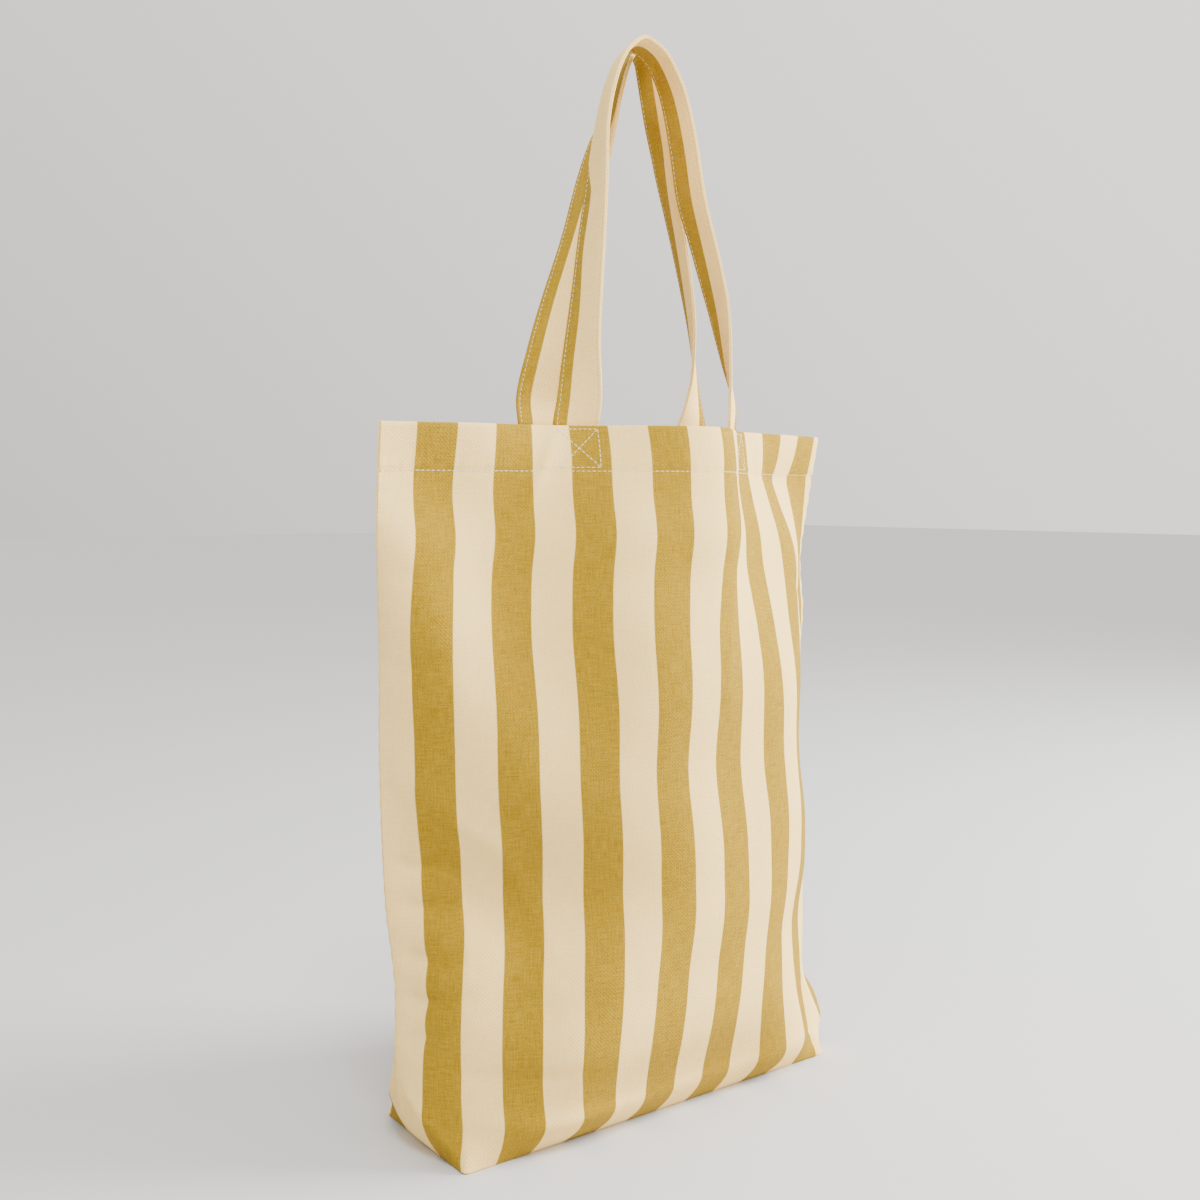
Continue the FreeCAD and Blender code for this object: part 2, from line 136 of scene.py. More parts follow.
# Creases pressed into the cloth: (panel side, line in cloth millimetres, height, width)
CREASES = (
    (-1, ((47.5, 1), (24, 24), (2, 47)), 3.0, 5.0),
    (-1, ((332.5, 1), (356, 24), (378, 47)), 3.0, 5.0),
    (1, ((47.5, 1), (24, 24), (2, 47)), 3.0, 5.0),
    (1, ((332.5, 1), (356, 24), (378, 47)), 3.0, 5.0),
    (-1, ((108, 424), (99, 402), (86, 374)), 2.8, 5.0),
    (-1, ((243, 425), (238, 400), (229, 360), (221, 310), (216, 262)), 2.2, 7.0),
    (-1, ((262, 425), (256, 396), (250, 350)), -1.2, 6.0),
    (-1, ((292, 424), (300, 398), (306, 352)), 1.8, 6.0),
    (-1, ((10, 226), (44, 200), (66, 181), (84, 150), (96, 120)), 5.5, 13.0),
    (-1, ((16, 190), (46, 158), (66, 130)), -3.0, 11.0),
    (-1, ((0, 176), (16, 170), (36, 172)), -5.0, 7.0),
    (-1, ((0, 150), (20, 146), (46, 149)), -5.5, 8.0),
    (-1, ((0, 121), (24, 115), (50, 118)), -5.5, 8.0),
    (-1, ((0, 92), (22, 92), (46, 98)), -5.0, 7.0),
    (-1, ((0, 66), (16, 70), (34, 78)), -3.5, 6.0),
    (-1, ((44, 54), (80, 50), (118, 52)), -4.5, 10.0),
    (-1, ((44, 28), (90, 21), (150, 23)), 2.4, 9.0),
    (-1, ((70, 112), (105, 96), (150, 104)), 2.8, 12.0),
    (-1, ((355, 124), (368, 114), (380, 116)), -2.4, 6.0),
    (-1, ((348, 54), (364, 50), (380, 48)), -4.6, 11.0),
    (-1, ((288, 398), (330, 394), (374, 396)), -8.0, 15.0),
    (-1, ((325, 12), (331, 32), (337, 58)), -10.0, 9.0),
    (-1, ((350, 4), (361, 7), (369, 16)), 13.0, 8.0),
    (-1, ((345, 262), (362, 255), (380, 258)), -2.0, 7.0),
    (-1, ((318, 330), (345, 316), (380, 322)), -2.0, 8.0),
    (-1, ((0, 345), (22, 338), (52, 346)), -1.6, 8.0),
    (-1, ((0, 290), (20, 286), (40, 290)), -1.6, 8.0),
    (1, ((120, 424), (108, 398), (92, 372)), 1.8, 6.0),
    (1, ((260, 424), (272, 396), (290, 368)), 1.8, 6.0),
    (1, ((140, 424), (150, 396), (158, 350)), 1.6, 7.0),
    (1, ((0, 128), (26, 120), (52, 126)), -2.8, 6.0),
    (1, ((0, 88), (22, 92), (40, 100)), -2.4, 6.0),
    (1, ((328, 170), (352, 162), (380, 168)), -2.8, 6.0),
    (1, ((340, 110), (360, 104), (380, 108)), -2.4, 6.0),
    (1, ((300, 260), (330, 230), (356, 190)), 2.2, 14.0),
    (1, ((90, 150), (140, 120), (200, 128)), 1.6, 14.0),
    (1, ((120, 34), (190, 26), (262, 36)), 1.5, 8.0),
)


def smooth(knots, values, at):
    """Cubic curve through the values, slopes taken from neighbours; values may be rows."""
    knots = np.asarray(knots, float)
    values = np.asarray(values, float)
    at = np.clip(np.asarray(at, float), knots[0], knots[-1])
    last = len(knots) - 1
    below = np.maximum(np.arange(last + 1) - 1, 0)
    above = np.minimum(np.arange(last + 1) + 1, last)
    slopes = ((values[above] - values[below]).T / (knots[above] - knots[below])).T
    i = np.clip(np.searchsorted(knots, at, side="right") - 1, 0, last - 1)
    span = knots[i + 1] - knots[i]
    t = (at - knots[i]) / span
    if values.ndim > 1 and t.ndim:
        t, span = t[:, None], span[:, None]
    return ((2 * t**3 - 3 * t**2 + 1) * values[i] + (t**3 - 2 * t**2 + t) * slopes[i] * span
            + (3 * t**2 - 2 * t**3) * values[i + 1] + (t**3 - t**2) * slopes[i + 1] * span)


def chart(table, z):
    heights = sorted(table)
    return smooth(heights, [table[h] for h in heights], z)


def plan_curve(knots, headings, start, end, count):
    """Points at equal steps of cloth from start to end, turned and bent to meet both."""
    step = PANEL_WIDTH / count
    at = (np.arange(count) + 0.5) * step
    h = smooth(knots, headings, at)
    mean = float(np.mean(headings))
    chord = math.dist(start, end)
    low, high = 0.2, 2.5
    for _ in range(40):
        bend = (low + high) / 2
        a = np.radians(mean + (h - mean) * bend)
        x, y = np.cos(a).sum() * step, np.sin(a).sum() * step
        if math.hypot(x, y) > chord:
            low = bend
        else:
            high = bend
    turn = math.atan2(end[1] - start[1], end[0] - start[0]) - math.atan2(y, x)
    a = a + turn
    points = np.zeros((count + 1, 2))
    points[1:, 0] = np.cumsum(np.cos(a)) * step
    points[1:, 1] = np.cumsum(np.sin(a)) * step
    return points + np.array(start, float)


SECTION_STEPS = 380
sections = {}


def section(side, z):
    """Inner face of a panel at height z, a point each millimetre of cloth."""
    key = (side, round(z, 3))
    if key in sections:
        return sections[key]
    table = FRONT_HEADINGS if side < 0 else BACK_HEADINGS
    lowest = min(table)
    if z < lowest:
        u = np.arange(SECTION_STEPS + 1) * PANEL_WIDTH / SECTION_STEPS
        depth = HALF_BASE_DEPTH - CLOTH
        width = HALF_BASE_WIDTH - CLOTH
        corner = BASE_CORNER
        path_u = (0, HALF_BASE_DEPTH - corner, HALF_BASE_DEPTH + corner,
                  PANEL_WIDTH - HALF_BASE_DEPTH - corner, PANEL_WIDTH - HALF_BASE_DEPTH + corner,
                  PANEL_WIDTH)
        x = np.interp(u, path_u, (-width, -width, -width + corner, width - corner, width, width))
        y = side * np.interp(u, path_u, (0, depth - corner, depth, depth, depth - corner, 0))
        floor = np.stack([x, y], 1)
        t = math.sin(max(z - CLOTH, 0) / (lowest - CLOTH) * math.pi / 2)
        found = floor * (1 - t) + section(side, lowest) * t
    else:
        found = plan_curve(U_KNOTS, chart(table, z), chart(LEFT_SEAM, z), chart(RIGHT_SEAM, z),
                           SECTION_STEPS)
    sections[key] = found
    return found


def crease_height(side, u, z):
    """How far creases push the cloth out at (u, z), in millimetres. They fade out at the side
    seams and at the base."""
    total = np.zeros_like(u)
    for which, line, height, width in CREASES:
        if which != side:
            continue
        nearest = np.full(u.shape, 1e9)
        along = np.zeros_like(u)
        whole = sum(math.dist(a, b) for a, b in zip(line, line[1:]))
        done = 0.0
        for a, b in zip(line, line[1:]):
            dx, dz = b[0] - a[0], b[1] - a[1]
            n = math.hypot(dx, dz)
            t = np.clip(((u - a[0]) * dx + (z - a[1]) * dz) / n**2, 0, 1)
            d = np.hypot(u - a[0] - t * dx, z - a[1] - t * dz)
            along = np.where(d < nearest, (done + t * n) / whole, along)
            nearest = np.minimum(nearest, d)
            done += n
        fade = np.sin(np.clip(along, 0.06, 0.94) * math.pi) ** 0.6
        blunt = max(1.0, 0.6 * (width - 6.0))
        total += height * fade * np.exp(-(np.sqrt(nearest**2 + blunt**2) - blunt) / width)
    sewn = np.clip(np.minimum(u, PANEL_WIDTH - u) / SEWN_ZONE, 0, 1)
    return total * sewn * sewn * (3 - 2 * sewn) * np.clip(z / BASE_ZONE, 0, 1)


def relief(side, u, z):
    """All small relief of a panel's wall: creases, puckers at seams and hem, and slackness."""
    out = crease_height(side, u, z)
    from_seam = np.minimum(u, PANEL_WIDTH - u)
    from_rim = RIM - z
    hem = np.clip((HEM + 1.5 - from_rim) / 3.0, 0, 1)
    out += 0.35 * hem * hem * (3 - 2 * hem)
    out -= 0.45 * np.exp(-((from_rim - HEM) / 1.2) ** 2)
    row = 0.22 * np.sin(u * 2 * math.pi / 7.3 + 1.7 * np.sin(u / 23.0))
    out += row * np.exp(-((from_rim - HEM + 2.5) / 4.0) ** 2)
    pucker = 0.28 * np.sin(z * 2 * math.pi / 11.0 + 2.0 * np.sin(z / 31.0 + side))
    out += pucker * np.exp(-from_seam / 5.0) * np.clip(from_rim / 30, 0, 1)
    slack = np.array([noise.noise(Vector((a / 55.0, b / 80.0, 3.0 * side))) * 1.6
                      + noise.noise(Vector((a / 19.0, b / 27.0, 9.0 + side))) * 0.35
                      for a, b in zip(u.ravel(), z.ravel())]).reshape(u.shape)
    out += slack * np.clip(from_seam / 18, 0, 1) * np.clip(z / 12, 0, 1)
    return out


def on_wall(side, u, z, out=0.0, rough=True):
    """Places on a panel's wall at cloth positions u and heights z, pushed outward by out.
    Returns points and outward normals."""
    u, z = np.broadcast_arrays(np.asarray(u, float), np.asarray(z, float))
    flat_u, flat_z = u.ravel(), z.ravel()
    grid_u = np.arange(SECTION_STEPS + 1) * PANEL_WIDTH / SECTION_STEPS
    points = np.zeros((flat_u.size, 3))
    normals = np.zeros((flat_u.size, 3))
    for height in np.unique(np.round(flat_z, 3)):
        rows = np.abs(flat_z - height) < 0.0011
        line = section(side, float(height))
        at = flat_u[rows]
        points[rows, 0] = np.interp(at, grid_u, line[:, 0])
        points[rows, 1] = np.interp(at, grid_u, line[:, 1])
        ahead, behind = np.clip(at + 1.5, 0, PANEL_WIDTH), np.clip(at - 1.5, 0, PANEL_WIDTH)
        dx = np.interp(ahead, grid_u, line[:, 0]) - np.interp(behind, grid_u, line[:, 0])
        dy = np.interp(ahead, grid_u, line[:, 1]) - np.interp(behind, grid_u, line[:, 1])
        n = np.hypot(dx, dy)
        normals[rows, 0] = -side * dy / n
        normals[rows, 1] = side * dx / n
    points[:, 2] = flat_z
    push = np.broadcast_to(np.asarray(out, float), u.shape).ravel().copy()
    if rough:
        push += relief(side, flat_u, flat_z)
    points += normals * push[:, None]
    return points.reshape(u.shape + (3,)), normals.reshape(u.shape + (3,))


# ------------------------------------------------------------------ mesh helpers
def finish_piece(name, bm, material, nodes):
    mesh = bpy.data.meshes.new(name)
    bm.to_mesh(mesh)
    bm.free()
    mesh.materials.append(material)
    piece = bpy.data.objects.new(name, mesh)
    bpy.context.scene.collection.objects.link(piece)
    for polygon in mesh.polygons:
        polygon.use_smooth = True
    if nodes:
        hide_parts(*nodes)
    return piece


def cloth_grid(us, vs, places, dye):
    """A grid of cloth with its columns at us and rows at vs, laid out at places[row][column].
    Its cloth position in metres is the UV map, and dye is how far in mm a spot lies inside
    an ochre stripe."""
    bm = bmesh.new()
    uv = bm.loops.layers.uv.new("cloth")
    stain = bm.verts.layers.float.new("dye")
    bmesh.ops.create_grid(bm, x_segments=len(us) - 1, y_segments=len(vs) - 1, size=1.0)
    at = {}
    for v in bm.verts:
        column = round((v.co.x + 1) / 2 * (len(us) - 1))
        row = round((v.co.y + 1) / 2 * (len(vs) - 1))
        at[v] = (column, row)
    for face in bm.faces:
        for loop in face.loops:
            column, row = at[loop.vert]
            loop[uv].uv = (us[column] * MM, vs[row] * MM)
    for v, (column, row) in at.items():
        v.co = Vector(places[row][column]) * MM
        v[stain] = float(dye[row][column])
    return bm, at


def stripe_dye(u):
    """Distance into an ochre stripe, negative in the cream ones, in millimetres."""
    t = np.mod(np.asarray(u, float) - FIRST_CREAM, 2 * STRIPE)
    return np.where(t < STRIPE, np.minimum(t, STRIPE - t),
                    -np.minimum(t - STRIPE, 2 * STRIPE - t))


def one_stitch():
    """A short plump length of thread, 1 mm in radius and 2 mm long before it is placed."""
    bm = bmesh.new()
    bmesh.ops.create_uvsphere(bm, u_segments=6, v_segments=4, radius=MM)
    mesh = bpy.data.meshes.new("one stitch")
    bm.to_mesh(mesh)
    bm.free()
    return mesh


def stitch_row(bm, points, lifts, thick=THREAD, gap=STITCH_GAP):
    """Separate stitches along a line, raised on the side that lifts point to."""
    points = np.asarray(points, float)
    lifts = np.asarray(lifts, float)
    steps = np.linalg.norm(np.diff(points, axis=0), axis=1)
    reach = np.concatenate([[0], np.cumsum(steps)])
    count = max(1, int(round(reach[-1] / STITCH)))
    pitch = reach[-1] / count
    for k in range(count):
        ends = []
        for s in (k * pitch + gap / 2, (k + 1) * pitch - gap / 2):
            ends.append(Vector([np.interp(s, reach, points[:, axis]) for axis in range(3)]))
        middle = (k + 0.5) * pitch
        lift = Vector([np.interp(middle, reach, lifts[:, axis]) for axis in range(3)])
        along = ends[1] - ends[0]
        length = along.length
        along.normalize()
        across = lift.cross(along).normalized()
        up = along.cross(across)
        turn = Matrix((across, up, along)).transposed().to_4x4()
        size = Matrix.Diagonal((thick, thick * 0.85, length / 2, 1.0))
        copy = stitch_mesh.copy()
        copy.transform(Matrix.Translation((ends[0] + ends[1]) / 2 * MM) @ turn @ size)
        bm.from_mesh(copy)
        bpy.data.meshes.remove(copy)


stitch_mesh = one_stitch()


# ------------------------------------------------------------------ materials
def srgb(code):
    """Linear colour from a #RRGGBB code."""
    values = [int(code[k:k + 2], 16) / 255 for k in (1, 3, 5)]
    linear = [c / 12.92 if c <= 0.04045 else ((c + 0.055) / 1.055) ** 2.4 for c in values]
    return (*linear, 1.0)


def add(tree, kind, settings=None, inputs=None, label=""):
    """A node with its settings, socket values and links."""
    node = tree.nodes.new(kind)
    node.label = label
    for name, value in (settings or {}).items():
        setattr(node, name, value)
    for name, value in (inputs or {}).items():
        if isinstance(value, bpy.types.NodeSocket):
            tree.links.new(value, node.inputs[name])
        else:
            node.inputs[name].default_value = value
    return node


def new_material(name):
    material = bpy.data.materials.new(name)
    material.use_nodes = True
    material.node_tree.nodes.clear()
    return material, material.node_tree


def canvas_material():
    """Yarn-dyed cotton canvas, plain woven: matt, with slubby ochre yarns between smoother
    undyed ones. Its threads are about 0.6 mm apart, and are drawn at 1.1 mm so that the
    weave shows."""
    material, tree = new_material("yarn-dyed cotton canvas")
    uv = add(tree, "ShaderNodeUVMap", {"uv_map": "cloth"})
    mm = add(tree, "ShaderNodeVectorMath", {"operation": "SCALE"},
             {0: uv.outputs[0], "Scale": 1000.0}, "cloth in millimetres")
    axes = add(tree, "ShaderNodeSeparateXYZ", {}, {0: mm.outputs[0]})
    warp_run = add(tree, "ShaderNodeMapping", {},
                   {"Vector": mm.outputs[0], "Scale": (1.3, 0.09, 1.0)})
    warp = add(tree, "ShaderNodeTexNoise", {"noise_dimensions": "2D"},
               {"Vector": warp_run.outputs[0], "Scale": 1.0, "Detail": 3.0,
                "Roughness": 0.6}, "warp slubs")
    weft_run = add(tree, "ShaderNodeMapping", {},
                   {"Vector": mm.outputs[0], "Scale": (0.1, 1.3, 1.0)})
    weft = add(tree, "ShaderNodeTexNoise", {"noise_dimensions": "2D"},
               {"Vector": weft_run.outputs[0], "Scale": 1.0, "Detail": 3.0,
                "Roughness": 0.6}, "weft slubs")
    fleck = add(tree, "ShaderNodeTexNoise", {"noise_dimensions": "2D"},
                {"Vector": mm.outputs[0], "Scale": 1.1, "Detail": 2.0, "Roughness": 0.7},
                "flecks where warp crosses weft")
    both = add(tree, "ShaderNodeMath", {"operation": "ADD"},
               {0: warp.outputs[0], 1: weft.outputs[0]})
    three = add(tree, "ShaderNodeMath", {"operation": "ADD"},
                {0: both.outputs[0], 1: fleck.outputs[0]})
    yarn = add(tree, "ShaderNodeMapRange", {},
               {"Value": three.outputs[0], "From Min": 1.1, "From Max": 1.9}, "yarn shade")
    ochre = add(tree, "ShaderNodeMix", {"data_type": "RGBA"},
                {0: yarn.outputs[0], 6: srgb("#8D6D07"), 7: srgb("#B08E1E")}, "ochre yarn")
    cream = add(tree, "ShaderNodeMix", {"data_type": "RGBA"},
                {0: yarn.outputs[0], 6: srgb("#FDD17A"), 7: srgb("#FFDE93")}, "undyed yarn")
    dye = add(tree, "ShaderNodeAttribute", {"attribute_name": "dye"})
    stray = add(tree, "ShaderNodeMath", {"operation": "MULTIPLY_ADD"},
                {0: weft.outputs[0], 1: 0.5, 2: -0.25}, "uneven stripe edge")
    edge = add(tree, "ShaderNodeMath", {"operation": "ADD"},
               {0: dye.outputs["Fac"], 1: stray.outputs[0]})
    stripe = add(tree, "ShaderNodeMapRange", {},
                 {"Value": edge.outputs[0], "From Min": -0.25, "From Max": 0.25},
                 "in an ochre stripe")
    colour = add(tree, "ShaderNodeMix", {"data_type": "RGBA"},
                 {0: stripe.outputs[0], 6: cream.outputs[2], 7: ochre.outputs[2]})
    warp_turn = add(tree, "ShaderNodeMath", {"operation": "MULTIPLY"},
                    {0: axes.outputs[0], 1: math.pi / WEAVE})
    warp_wave = add(tree, "ShaderNodeMath", {"operation": "SINE"}, {0: warp_turn.outputs[0]})
    weft_turn = add(tree, "ShaderNodeMath", {"operation": "MULTIPLY"},
                    {0: axes.outputs[1], 1: math.pi / WEAVE})
    weft_wave = add(tree, "ShaderNodeMath", {"operation": "SINE"}, {0: weft_turn.outputs[0]})
    weave = add(tree, "ShaderNodeMath", {"operation": "MULTIPLY"},
                {0: warp_wave.outputs[0], 1: weft_wave.outputs[0]}, "over and under")
    height = add(tree, "ShaderNodeMath", {"operation": "MULTIPLY_ADD"},
                 {0: yarn.outputs[0], 1: 1.3, 2: weave.outputs[0]})
    bump = add(tree, "ShaderNodeBump", {},
               {"Height": height.outputs[0], "Strength": 0.4, "Distance": 0.0002})
    rough = add(tree, "ShaderNodeMapRange", {},
                {"Value": yarn.outputs[0], "To Min": 0.95, "To Max": 0.8})
    shader = add(tree, "ShaderNodeBsdfPrincipled", {},
                 {"Base Color": colour.outputs[2], "Roughness": rough.outputs[0],
                  "Normal": bump.outputs[0], "IOR": 1.46, "Specular IOR Level": 0.12,
                  "Sheen Weight": 0.03, "Sheen Roughness": 0.6})
    add(tree, "ShaderNodeOutputMaterial", {}, {"Surface": shader.outputs[0]})
    return material


def thread_material():
    """Spun cotton sewing thread, undyed: pale, with a faint gloss on its twisted plies."""
    material, tree = new_material("spun cotton thread")
    place = add(tree, "ShaderNodeTexCoord")
    ply = add(tree, "ShaderNodeTexWave",
              {"wave_type": "BANDS", "bands_direction": "DIAGONAL"},
              {"Vector": place.outputs["Object"], "Scale": 500.0, "Distortion": 0.6})
    tone = add(tree, "ShaderNodeMix", {"data_type": "RGBA"},
               {0: ply.outputs["Fac"], 6: srgb("#DCCBA2"), 7: srgb("#EFE2C2")})
    bump = add(tree, "ShaderNodeBump", {},
               {"Height": ply.outputs["Fac"], "Strength": 0.4, "Distance": 0.00008})
    shader = add(tree, "ShaderNodeBsdfPrincipled", {},
                 {"Base Color": tone.outputs[2], "Roughness": 0.62,
                  "Normal": bump.outputs[0], "IOR": 1.5, "Sheen Weight": 0.2})
    add(tree, "ShaderNodeOutputMaterial", {}, {"Surface": shader.outputs[0]})
    return material


def overlock_material():
    """Raw canvas edges bound with overlocked thread: loops of pale thread 2.4 mm apart
    across an ochre-tinged cloth."""
    material, tree = new_material("overlocked canvas edge")
    uv = add(tree, "ShaderNodeUVMap", {"uv_map": "cloth"})
    mm = add(tree, "ShaderNodeVectorMath", {"operation": "SCALE"},
             {0: uv.outputs[0], "Scale": 1000.0}, "cloth in millimetres")
    slope = add(tree, "ShaderNodeMapping", {},
                {"Vector": mm.outputs[0], "Rotation": (0, 0, 0.2)})
    loops = add(tree, "ShaderNodeTexWave", {"wave_type": "BANDS", "bands_direction": "Y"},
                {"Vector": slope.outputs[0], "Scale": 0.13, "Distortion": 1.0,
                 "Detail": 1.0, "Detail Scale": 1.0})
    thick = add(tree, "ShaderNodeMapRange", {},
                {"Value": loops.outputs["Fac"], "From Min": 0.35, "From Max": 0.65})
    tone = add(tree, "ShaderNodeMix", {"data_type": "RGBA"},
               {0: thick.outputs[0], 6: srgb("#B9995A"), 7: srgb("#EFE2C4")})
    bump = add(tree, "ShaderNodeBump", {},
               {"Height": loops.outputs["Fac"], "Strength": 0.6, "Distance": 0.0004})
    shader = add(tree, "ShaderNodeBsdfPrincipled", {},
                 {"Base Color": tone.outputs[2], "Roughness": 0.85,
                  "Normal": bump.outputs[0], "Sheen Weight": 0.15})
    add(tree, "ShaderNodeOutputMaterial", {}, {"Surface": shader.outputs[0]})
    return material


canvas = canvas_material()
thread = thread_material()
overlock = overlock_material()


# ------------------------------------------------------------------ panels
def rim_rows():
    """Rows over the rim and down inside: cloth length past the rim, height, outward."""
    fold = RIM_FOLD
    top = RIM - CLOTH - fold
    low = RIM - HEM
    rows = []
    for angle in (45, 90, 135, 180):
        a = math.radians(angle)
        rows.append((fold * a, top + fold * math.sin(a), -fold + fold * math.cos(a)))
    turned = rows[-1][0]
    for z in np.arange(top - 2.0, low, -2.5):
        share = min(1.0, (top - z) / 6.0)
        back = -2 * fold + (HEM_BACK + 2 * fold) * share
        rows.append((turned + top - z, float(z), back))
    turned = rows[-1][0]
    rows.append((turned + 2.0, low, HEM_BACK))
    rows.append((turned + 2.5, low - 0.4, HEM_BACK + 0.05))
    rows.append((turned + 2.9, low - 0.4, HEM_BACK + 0.15))
    rows.append((turned + 3.4, low, HEM_BACK + 0.2))
    rows.append((turned + 3.4 + TURN_UNDER, low + TURN_UNDER, HEM_BACK + 0.2))
    return rows


def panel(name, side):
    depth = HALF_BASE_DEPTH
    far = PANEL_WIDTH - depth
    gusset = np.concatenate([[0, 0.5, 1.0, 1.7, 2.6], np.linspace(4.4, depth - 1.2, 20),
                             [depth - 0.5, depth]])
    us = np.concatenate([gusset, np.linspace(depth, far, 123)[1:-1],
                         PANEL_WIDTH - gusset[::-1]])
    base = np.concatenate([np.linspace(-depth, -1.5, 13), [-0.5]])
    top = RIM - CLOTH - RIM_FOLD
    wall = np.concatenate([[CLOTH, 1.3, 2.2], np.arange(4.2, 60, 2.4),
                           np.arange(60, 384, 3.0), np.arange(384, top - 1, 2.0), [top]])
    over = rim_rows()
    vs = np.concatenate([base, wall - CLOTH, [RIM + row[0] for row in over]])
    ground = section(side, CLOTH)
    steps = np.arange(SECTION_STEPS + 1) * PANEL_WIDTH / SECTION_STEPS
    ground_x = np.interp(us, steps, ground[:, 0])
    ground_y = np.interp(us, steps, ground[:, 1])
    places = [np.stack([ground_x, ground_y * (depth + v) / depth,
                        np.full(us.shape, CLOTH)], 1) for v in base]
    for z, back in [(z, 0.0) for z in wall] + [(row[1], row[2]) for row in over]:
        rough = z > 3
        row, _ = on_wall(side, us, np.full(us.shape, z), back, rough)
        places.append(row)
    bm, at = cloth_grid(us, vs, places, [stripe_dye(us)] * len(vs))
    waste = []
    for face in bm.faces:
        columns = [us[at[v][0]] for v in face.verts]
        low = min(at[v][1] for v in face.verts) < len(base)
        if low and (min(columns) < depth - 0.01 or max(columns) > far + 0.01):
            waste.append(face)
    bmesh.ops.delete(bm, geom=waste, context="FACES")
    if side > 0:
        bmesh.ops.reverse_faces(bm, faces=bm.faces)
    piece = finish_piece(name + "_cloth", bm, canvas, [name])
    wall_thickness = piece.modifiers.new("cloth thickness", "SOLIDIFY")
    wall_thickness.thickness = CLOTH * MM
    wall_thickness.offset = 1.0
    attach(piece, "bag")
    return piece


panel("front_panel", -1)
panel("back_panel", 1)


# ------------------------------------------------------------------ straps
def strap_frames(side, path):
    """Rings along a strap, from its left sewn end over the loop to its right sewn end."""
    keys = []
    for u, flip in ((STATIONS[0], 0), (STATIONS[1], 180)):
        near, normal = on_wall(side, np.array([u]), np.array([RIM]), 0, False)
        heading = math.degrees(math.atan2(-side * normal[0, 0], side * normal[0, 1]))
        keys.append((near[0, 0] + normal[0, 0] * STRAP_BACK,
                     near[0, 1] + normal[0, 1] * STRAP_BACK, RIM + RIM_GAP, heading - flip))
    keys = np.array([keys[0]] + list(path) + [keys[1]], float)
    steps = np.linalg.norm(np.diff(keys[:, :3], axis=0), axis=1)
    reach = np.concatenate([[0], np.cumsum(steps)])
    s = np.linspace(0, reach[-1], int(reach[-1] / 2.5))
    spot = smooth(reach, keys, s)
    ahead = smooth(reach, keys[:, :3], np.minimum(s + 1, reach[-1]))
    behind = smooth(reach, keys[:, :3], np.maximum(s - 1, 0))
    along = ahead - behind
    along[0] = (0, 0, 1)
    along[-1] = (0, 0, -1)
    along /= np.linalg.norm(along, axis=1)[:, None]
    angle = np.radians(spot[:, 3])
    width = np.stack([np.cos(angle), np.sin(angle), np.zeros_like(angle)], 1)
    width -= along * np.sum(width * along, axis=1)[:, None]
    width /= np.linalg.norm(width, axis=1)[:, None]
    return s, spot[:, :3], width, np.cross(width, along)


def strap_lines(side, frames, w, t):
    """The line along a whole strap at w across its width and t out from its middle."""
    s, centre, width, face = frames
    loop = centre + width * w + face * t
    sewn = []
    heights = np.linspace(RIM - HEM + 0.5, RIM, 12)
    for station, across in zip(STATIONS, (w, -w)):
        line, _ = on_wall(side, np.full(heights.shape, station + across), heights,
                          STRAP_BACK - side * t)
        sewn.append(line)
    fade_in = np.clip(1 - s / FOOT_BLEND, 0, 1) ** 2
    fade_out = np.clip(1 - (s[-1] - s) / FOOT_BLEND, 0, 1) ** 2
    lift = np.array((0, 0, RIM_GAP))
    loop = loop + fade_in[:, None] * (sewn[0][-1] + lift - loop[0])
    loop = loop + fade_out[:, None] * (sewn[1][-1] + lift - loop[-1])
    return np.concatenate([sewn[0], loop, sewn[1][::-1]])


# Half of a strap's cross-section: across, out. A strip folded in four, its two long folds
# meeting at the front edge, with a dent under each row of stitches.
STRAP_SECTION = ((-13.5, 0.0), (-13.35, 0.6), (-12.8, 1.0), (-12.0, 1.08), (-11.5, 1.0),
                 (-11.1, 0.82), (-10.7, 1.0), (-9.5, 1.1), (-5, 1.18), (0, 1.2), (5, 1.18),
                 (9.5, 1.1), (10.7, 1.0), (11.1, 0.82), (11.5, 1.0), (12.2, 1.1),
                 (12.9, 1.08), (13.4, 0.8), (13.5, 0.45), (13.2, 0.12), (12.6, 0.0))


